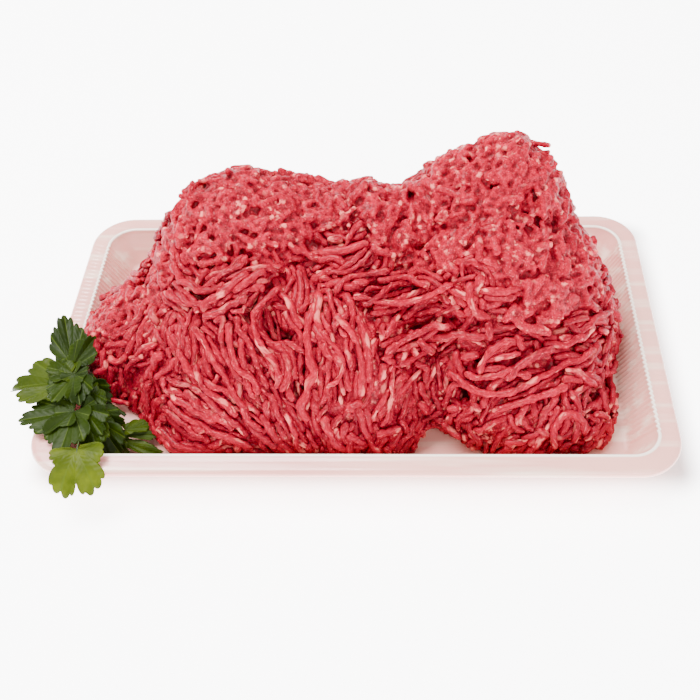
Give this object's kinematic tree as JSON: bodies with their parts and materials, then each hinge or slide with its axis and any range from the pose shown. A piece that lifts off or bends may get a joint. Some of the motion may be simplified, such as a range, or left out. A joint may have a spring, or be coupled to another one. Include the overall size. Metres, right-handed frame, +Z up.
{
  "type": "meat tray pack",
  "caption": "Open foam tray with flat rim and fluted end walls, filled with a tall heap of minced beef and a garnish of flat-leaf parsley at one corner.",
  "frame": {"origin": "centre of the tray's flat underside", "axes": "+X along the tray's length to the right, +Y towards the long side away from the viewer, +Z up"},
  "size_m": [0.3973, 0.2293, 0.1455],
  "materials": {
    "foam": "pinkish white foam with a glossy pressed skin",
    "minced_meat": "moist raw minced beef, pinkish red strands with cream fat",
    "parsley_leaf": "fresh green leaf, satin"
  },
  "bodies": {
    "root": {"foam_tray": "foam", "mince_heap": "minced_meat", "parsley_sprig_rear": "parsley_leaf", "parsley_sprig_front": "parsley_leaf"}
  },
  "joints": []
}
